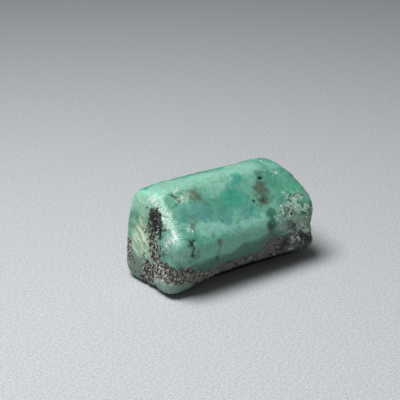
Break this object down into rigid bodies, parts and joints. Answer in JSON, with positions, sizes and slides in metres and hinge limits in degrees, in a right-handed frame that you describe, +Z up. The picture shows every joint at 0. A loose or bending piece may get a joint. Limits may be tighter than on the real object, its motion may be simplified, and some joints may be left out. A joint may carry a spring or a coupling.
{
  "type": "raw emerald crystal",
  "caption": "Rough, worn six-sided prism of cloudy green beryl lying on one long side, chipped at one end, with dark mica schist grown into its ends and underside.",
  "frame": {"origin": "middle of the footprint's box, on the surface that the crystal rests on", "axes": "+X along the crystal's length towards its chipped end, -Y towards the face with the best colour, +Z up"},
  "size_m": [0.025, 0.0124, 0.0133],
  "materials": {
    "beryl": "cloudy bluish-green beryl, satin where worn",
    "mica_schist": "black and silvery mica flakes in dark schist, glittering"
  },
  "bodies": {
    "root": {"emerald_crystal": "beryl"}
  },
  "joints": []
}
